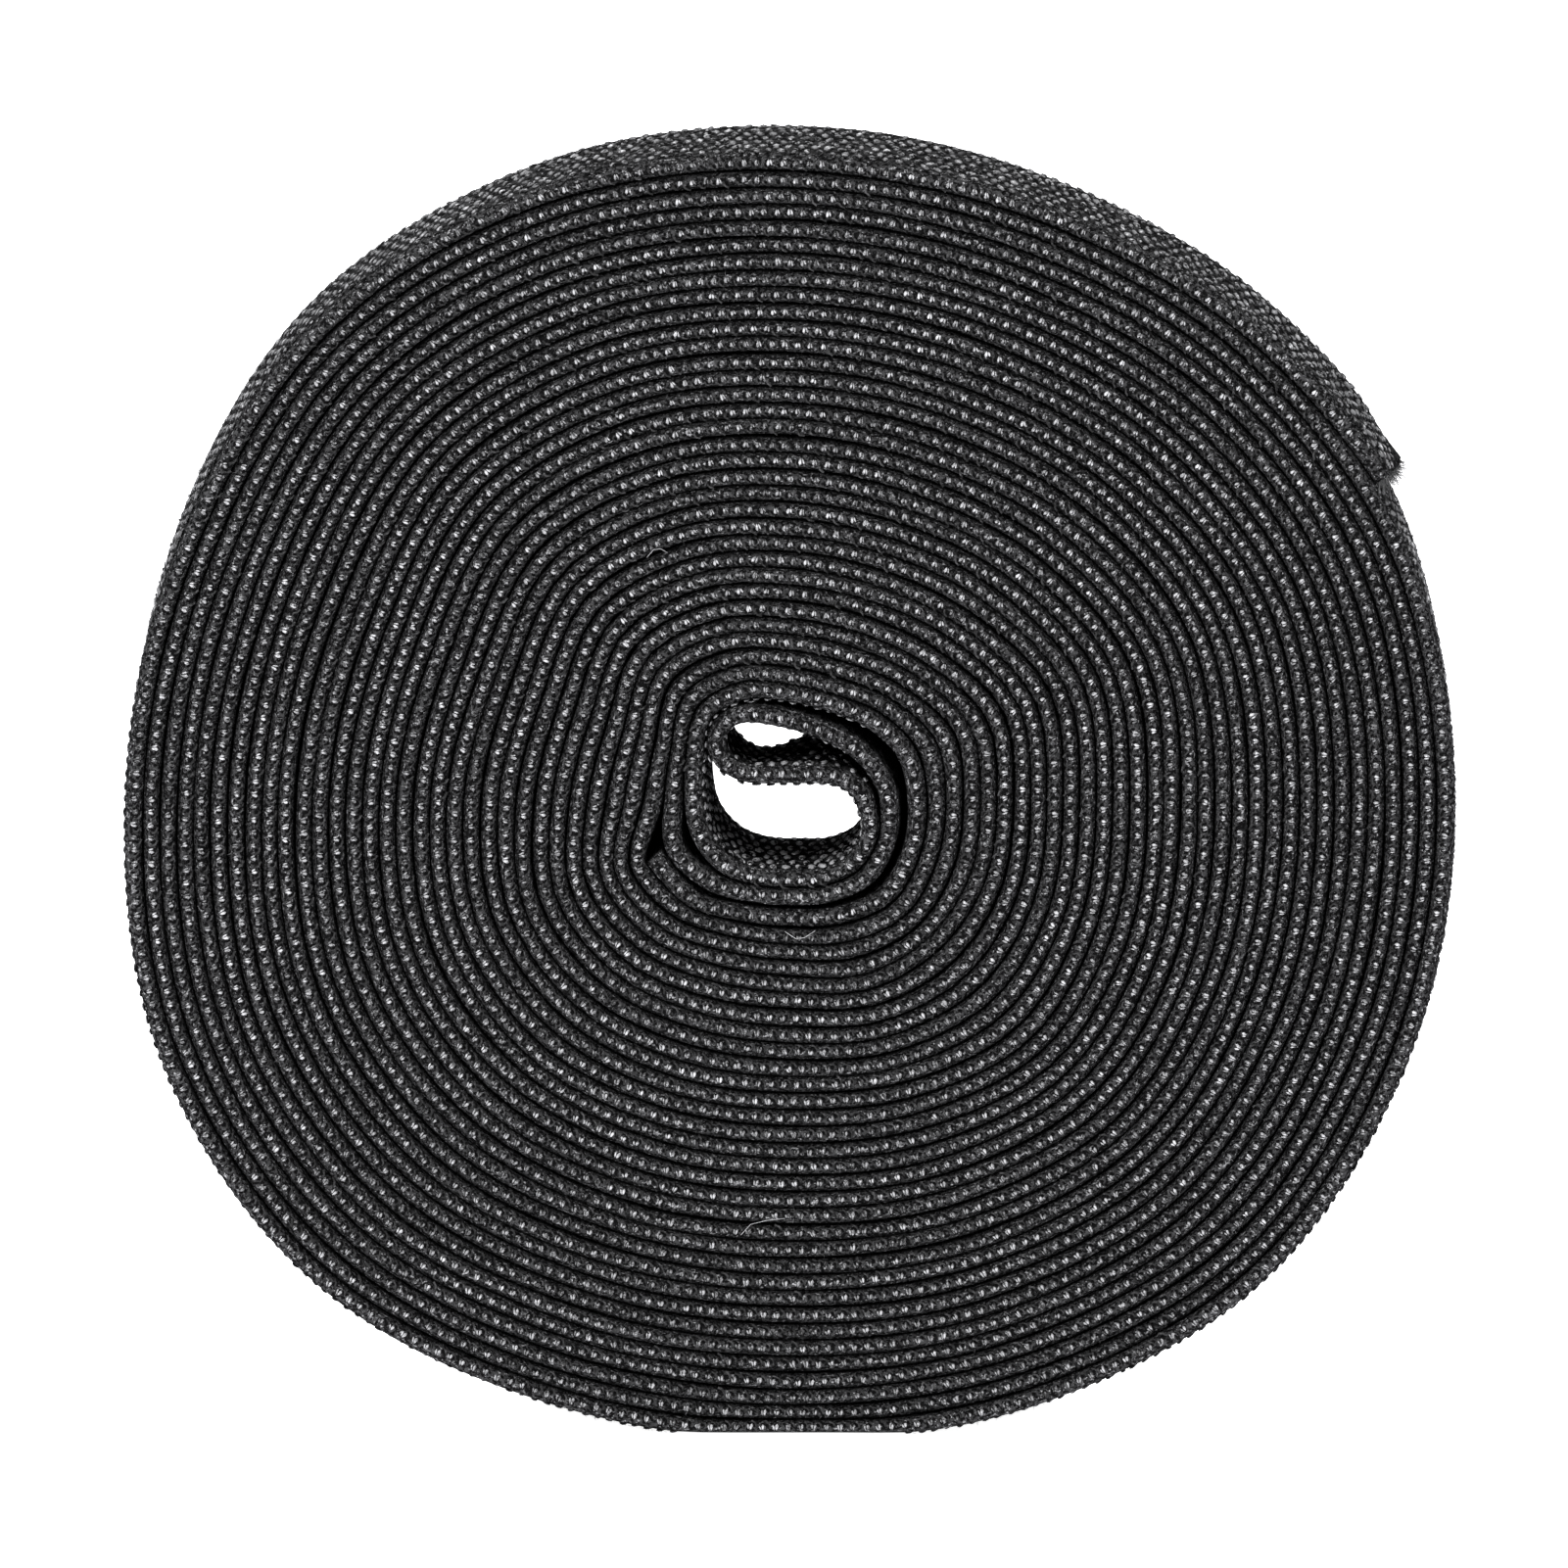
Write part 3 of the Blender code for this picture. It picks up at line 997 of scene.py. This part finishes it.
def oneStitch():
    bm = bmesh.new()
    bmesh.ops.create_uvsphere(bm, u_segments=6, v_segments=4, radius=1)
    everything = bm.verts[:] + bm.edges[:] + bm.faces[:]
    bmesh.ops.rotate(bm, verts=bm.verts, matrix=Matrix.Rotation(math.radians(90), 3, "X"))
    cut = bmesh.ops.bisect_plane(
        bm,
        geom=everything,
        plane_co=(0, 0, faceStitches["cutAt"]),
        plane_no=(0, 0, 1),
        clear_inner=True,
    )
    rim = [part for part in cut["geom_cut"] if isinstance(part, bmesh.types.BMEdge)]
    bmesh.ops.edgeloop_fill(bm, edges=rim)
    sizes = (faceStitches["alongBand"], faceStitches["acrossWidth"], faceStitches["height"])
    bmesh.ops.scale(bm, verts=bm.verts, vec=sizes)
    bmesh.ops.recalc_face_normals(bm, faces=bm.faces)
    return bm


def stitchesOn(name, face, start, end, material, seed, shading):
    # stitches in columns over a stretch of a face that shows
    rng = np.random.default_rng(seed)
    middleShade, foot = shading
    alongJitter, acrossJitter = faceStitches["jitter"]
    slope, slopeSpread = faceStitches["slope"]
    shadeSpread, *shadeLimits = faceStitches["shadeSpread"]
    pitch = band["width"] / faceStitches["columns"]
    rows = np.arange(math.ceil(start / loops["pitch"]), end / loops["pitch"]) * loops["pitch"]
    places, axes, shades = [], [], []
    for column in range(faceStitches["columns"]):
        odd, atBack = column % 2, column == faceStitches["columns"] - 1
        lower, darker = faceStitches["backColumn"] if atBack else (1, 1)
        s = rows + loops["pitch"] * (0.5 * odd) + rng.normal(0, alongJitter, len(rows))
        s = s[(s < end) & (halfAt(s, face) > faceStitches["roomNeeded"])]
        y = -band["width"] / 2 + (column + 0.5) * pitch + rng.normal(0, acrossJitter, len(s))
        length, width, out = np.moveaxis(bandAxes(s, 1), 2, 0)
        slopes = slope * (1 if odd else -1) + rng.normal(0, slopeSpread, len(s))
        own = np.stack([length, width + length * slopes[:, None], out * face * lower], axis=-1)
        axes.append(own * uneven(rng, len(s), *faceStitches["sizes"]))
        places.append(onFace(s, y, face * (halfAt(s, face) - faceStitches["sunk"])))
        shares = rng.normal(1, shadeSpread, len(s)).clip(*shadeLimits)
        shades.append(middleShade * shares * darker)
    places, axes, shades = (np.concatenate(parts) for parts in (places, axes, shades))
    return copiesOf(oneStitch(), places, axes, shades, name, material, foot)


def makeFaceStitches(material):
    pieces = []
    for name, face, first, last in faceStitches["eye"]:
        seed, shading = faceStitches["eyeSeed"] + face, faceStitches["eyeShade"]
        stretch = (face, knotLength(first), knotLength(last))
        pieces.append(stitchesOn(name, *stretch, material, seed, shading))
    seed, shading = faceStitches["rimSeed"], faceStitches["rimShade"]
    stretch = (1, lastTurnStart, bandLength - faceStitches["clearOfEnd"])
    pieces.append(stitchesOn("rim_stitches", *stretch, material, seed, shading))
    return pieces


# yarn that surfaces near both selvedges of the outermost face, painted light grey with the loops'
# painted highlight
flecks = {
    "at": (-0.30, 0.20, 0.34),  # shares of the width from its middle
    "halfSize": (0.10 * mm, 0.45 * mm, 0.07 * mm),
    "sizes": (0.2, -0.5, 0.5),  # as the loops' sizes
    "shown": 0.7,  # share of the stitches that have one
    "jitter": 0.35 * mm,
    "slope": (0.1, 0.15),  # middle and spread
    "standOff": 0.07 * mm,
    "shade": (0.05, 0.6),
    "clearOfEnd": 1 * mm,
    "seed": 91,
}


def makeFlecks(material):
    rng = np.random.default_rng(flecks["seed"])
    row = np.arange(lastTurnStart, bandLength - flecks["clearOfEnd"], loops["pitch"])
    s = np.tile(row, len(flecks["at"]))
    y = np.repeat(flecks["at"], len(row)) * band["width"]
    free = halfAt(s, 1) > faceStitches["roomNeeded"]
    chosen = free & (rng.uniform(0, 1, len(s)) < flecks["shown"])
    s, y = s[chosen], y[chosen] + rng.normal(0, flecks["jitter"], chosen.sum())
    length, width, out = np.moveaxis(bandAxes(s, 1), 2, 0)
    leaning = width + length * rng.normal(*flecks["slope"], len(s))[:, None]
    axes = np.stack([length, leaning, out], axis=-1) * np.array(flecks["halfSize"])
    axes = axes * uneven(rng, len(s), *flecks["sizes"])
    bm = bmesh.new()
    bmesh.ops.create_icosphere(bm, subdivisions=1, radius=1)
    places = onFace(s, y, halfAt(s, 1) + flecks["standOff"])
    return copiesOf(bm, places, axes, rng.uniform(*flecks["shade"], len(s)), "rim_flecks", material)


# where loose fibres point is given in parts: middle and spread along the band, from and to out
# of the selvedge, and middle and spread across the thickness
fuzz = {
    "radius": 0.013 * mm,
    "perLoop": 0.75,
    "length": (0.12 * mm, 0.4 * mm),
    "acrossEdge": (-0.3 * mm, 0.3 * mm),  # where they start
    "sunk": 0.03 * mm,
    "towards": ((0.4, 0.7), (0.3, 1.2), (0, 0.8)),
    "shade": (0.1, 1.0),  # before it is squared
    "clearOfEnd": 0.5 * mm,
    "seed": 51,
}


def oneSpike():
    bm = bmesh.new()
    bmesh.ops.create_cone(bm, cap_ends=True, segments=3, radius1=1, radius2=0, depth=1)
    bmesh.ops.translate(bm, verts=bm.verts, vec=(0, 0, 0.5))
    return bm


def spikeAxes(direction, length, radius):
    # columns for the spike's own axes: two sideways ones and the one along it
    direction = direction / np.linalg.norm(direction, axis=1, keepdims=True)
    # any other direction helps to find a sideways one
    helper = np.where(np.abs(direction[:, 1:2]) < 0.9, [[0.0, 1.0, 0.0]], [[1.0, 0.0, 0.0]])
    sideways = np.cross(direction, helper)
    sideways /= np.linalg.norm(sideways, axis=1, keepdims=True)
    other = np.cross(direction, sideways)
    return np.stack([sideways * radius, other * radius, direction * length[:, None]], axis=-1)


def makeFuzz(material):
    pieces = []
    ahead, out, across = fuzz["towards"]
    for side, sideName in sides:
        rng = np.random.default_rng(fuzz["seed"] + side)
        count = int(bandLength / loops["pitch"] * fuzz["perLoop"])
        s = rng.uniform(0, bandLength - fuzz["clearOfEnd"], count)
        places = onBand(s, side, rng.uniform(*fuzz["acrossEdge"], count), -fuzz["sunk"])
        towards = [rng.normal(*ahead, count), rng.uniform(*out, count), rng.normal(*across, count)]
        direction = directed(s, side, towards)
        length = rng.uniform(*fuzz["length"], count)
        shades = rng.uniform(*fuzz["shade"], count) ** 2
        axes = spikeAxes(direction, length, fuzz["radius"])
        pieces.append(copiesOf(oneSpike(), places, axes, shades, f"{sideName}_fuzz", material))
    return pieces


# short fibre ends all over the outermost turn, more of them near its selvedges
rimFuzz = {
    "radius": 0.018 * mm,
    "count": 2800,
    "length": (0.08 * mm, 0.32 * mm),
    "furthest": 0.496,  # of the width, from its middle
    "sunk": 0.95,  # of half the thickness
    # in parts along the band and across its width, middle and spread, and outwards from and to
    "towards": ((0, 0.9), (0, 0.5), (0.4, 1.2)),
    "shade": (0, 0.35),
    "clearOfEnd": 1 * mm,
    "seed": 61,
}


def makeRimFuzz(material):
    rng = np.random.default_rng(rimFuzz["seed"])
    count = rimFuzz["count"]
    s = rng.uniform(lastTurnStart, bandLength - rimFuzz["clearOfEnd"], count)
    fromMiddle = rimFuzz["furthest"] - 0.5 * rng.uniform(0, 1, count) ** 3
    y = np.sign(rng.uniform(-1, 1, count)) * fromMiddle * band["width"]
    free = halfAt(s, 1) > faceStitches["roomNeeded"]
    s, y = s[free], y[free]
    places = onFace(s, y, halfAt(s, 1) * rimFuzz["sunk"])
    ahead, across, out = rimFuzz["towards"]
    towards = [rng.normal(*ahead, len(s)), rng.normal(*across, len(s)), rng.uniform(*out, len(s))]
    length = rng.uniform(*rimFuzz["length"], len(s))
    axes = spikeAxes(directed(s, 1, towards), length, rimFuzz["radius"])
    shades = rng.uniform(*rimFuzz["shade"], len(s))
    return copiesOf(oneSpike(), places, axes, shades, "rim_fuzz", material)


# the yarn ends of the cut
fray = {
    "radius": 0.032 * mm,
    "count": 420,
    "length": (0.3 * mm, 1.7 * mm),
    "sunk": 0.03 * mm,
    "acrossCut": (-0.85, 0.85),  # of half the thickness
    # in parts along the band from and to, and across its width and its thickness, middle and spread
    "towards": ((0.5, 1.3), (0.1, 0.5), (-0.1, 0.7)),
    "shade": (0, 0.15),
    "seed": 81,
}


def makeFray(material):
    rng = np.random.default_rng(fray["seed"])
    count = fray["count"]
    y = rng.uniform(-0.5, 0.5, count) * band["width"]
    s = np.full(count, bandLength - fray["sunk"])
    places = onFace(s, y, rng.uniform(*fray["acrossCut"], count) * halfAt(s, 1))
    forward = bandAxes(s, 1)[:, :, 0]
    places += forward * np.interp(y / band["width"] + 0.5, (0, 1), band["endSlant"])[:, None]
    ahead, across, out = fray["towards"]
    towards = [rng.uniform(*ahead, count), rng.normal(*across, count), rng.normal(*out, count)]
    length = np.interp(rng.uniform(0, 1, count) ** 2, (0, 1), fray["length"])
    axes = spikeAxes(directed(s, 1, towards), length, fray["radius"])
    shades = rng.uniform(*fray["shade"], count)
    return copiesOf(oneSpike(), places, axes, shades, "cut_end_fray", material)


hairs = {
    "radius": 0.022 * mm,
    "standOff": 0.22 * mm,
    # the photo pixels that each one passes
    "paths": (
        ((756, 1262), (766, 1251), (782, 1247), (801, 1245)),
        ((801, 951), (812, 958), (821, 957), (832, 950)),
        ((660, 568), (667, 560), (674, 559), (681, 563)),
    ),
}


def makeHairs(material):
    # a few long pale hairs that lie on the front
    bm = bmesh.new()
    middle = (shot["photoPixels"] - 1) / 2
    for path in hairs["paths"]:
        points = []
        for i, (across, down) in enumerate(path):
            x = shot["aim"][0] + (across - middle) * shot["pixel"]
            z = shot["aim"][2] + (middle - down) * shot["pixel"]
            bow = math.sin(math.pi * i / (len(path) - 1)) * hairs["standOff"] / 2
            points.append(Vector((x, -band["width"] / 2 - hairs["standOff"] - bow, z)))
        drawnAlong(bm, points, hairs["radius"])
    return newPiece("stray_hairs", bm, material)


# making the pieces

speckles = fibreSpeckleGroup()
knit = knitFaceGroup()

cloth = makeBand(clothMaterial(speckles, knit))
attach(cloth, "root")
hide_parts("elastic_band")
print("band made")

fibre, shiny = fuzzMaterial(), loopMaterial(speckles)
details = makeLoops(shiny) + makeStrands(strandMaterial(speckles))
details += makeFaceStitches(stitchMaterial(speckles)) + [makeFlecks(shiny)]
details += makeFuzz(fibre) + [makeRimFuzz(fibre), makeFray(fibre), makeHairs(hairMaterial())]
for piece in details:
    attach(piece, "root")
triangles = sum(len(face.vertices) - 2 for piece in [cloth, *details] for face in piece.data.polygons)
print("loops, strands, stitches and fuzz made:", triangles, "triangles with the band")

# stage, light and camera

# a lit white table
stage = {
    "halfWidth": 6.0,
    "greys": (0.86, 0.9),
    "grain": 40.0,  # noise scale, per metre
    "detail": 3.0,
    "roughness": 0.9,
    "specular": 0.1,
    "glow": 0.95,
    "room": 0.6,  # light from all round
}


def makeStage():
    bm = bmesh.new()
    bmesh.ops.create_grid(bm, x_segments=1, y_segments=1, size=stage["halfWidth"])
    material, tree, surface = newMaterial("pale_paper")
    noise = addNode(tree, "ShaderNodeTexNoise", Vector=objectPlace(tree), Scale=stage["grain"])
    noise.inputs["Detail"].default_value = stage["detail"]
    colour = mixColour(tree, noise.outputs[0], *(grey(value) for value in stage["greys"]))
    tree.links.new(colour, surface.inputs["Base Color"])
    surface.inputs["Roughness"].default_value = stage["roughness"]
    surface.inputs["Specular IOR Level"].default_value = stage["specular"]
    surface.inputs["Emission Color"].default_value = (1, 1, 1, 1)
    surface.inputs["Emission Strength"].default_value = stage["glow"]
    return newPiece("pale_floor", bm, material)


makeStage()

lights = {
    # name: place, aim, size in m, watts
    "topSoftbox": ((-0.15, -0.25, 0.6), (0, 0, 0.04), 0.45, 1.3),
    "frontSoftbox": ((-0.4, -1.1, 0.7), (0, 0, 0.04), 0.9, 15.5),
    "overheadSoftbox": ((0.0, 0.3, 1.4), (0, 1.0, 0.3), 1.2, 22.0),
}


def makeLight(name, place, aim, size, watts):
    light = bpy.data.lights.new(name, "AREA")
    light.shape, light.size, light.energy = "SQUARE", size, watts
    lamp = bpy.data.objects.new(name, light)
    bpy.context.scene.collection.objects.link(lamp)
    lamp.location = place
    lamp.rotation_euler = (Vector(aim) - Vector(place)).to_track_quat("-Z", "Y").to_euler()


def makeWorld():
    world = bpy.data.worlds.new("soft_white_room")
    world.use_nodes = True
    surround = world.node_tree.nodes["Background"]
    surround.inputs["Color"].default_value = (1, 1, 1, 1)
    surround.inputs["Strength"].default_value = stage["room"]
    bpy.context.scene.world = world
    bpy.context.scene.view_settings.view_transform = "Standard"


def makeCamera():
    data = bpy.data.cameras.new("camera")
    camera = bpy.data.objects.new("camera", data)
    bpy.context.scene.collection.objects.link(camera)
    azimuth, elevation = math.radians(shot["azimuth"]), math.radians(shot["elevation"])
    back = Vector((
        math.sin(azimuth) * math.cos(elevation),
        -math.cos(azimuth) * math.cos(elevation),
        math.sin(elevation),
    ))
    camera.location = Vector(shot["aim"]) + back * shot["distance"]
    camera.rotation_euler = (-back).to_track_quat("-Z", "Y").to_euler()
    data.sensor_width = shot["sensor"]
    data.lens = shot["sensor"] * shot["distance"] / (shot["photoPixels"] * shot["pixel"])
    data.clip_start, data.clip_end = shot["clip"]
    bpy.context.scene.camera = camera


for lightName, settings in lights.items():
    makeLight(lightName, *settings)
makeWorld()
makeCamera()
print("stage, lights and camera made")
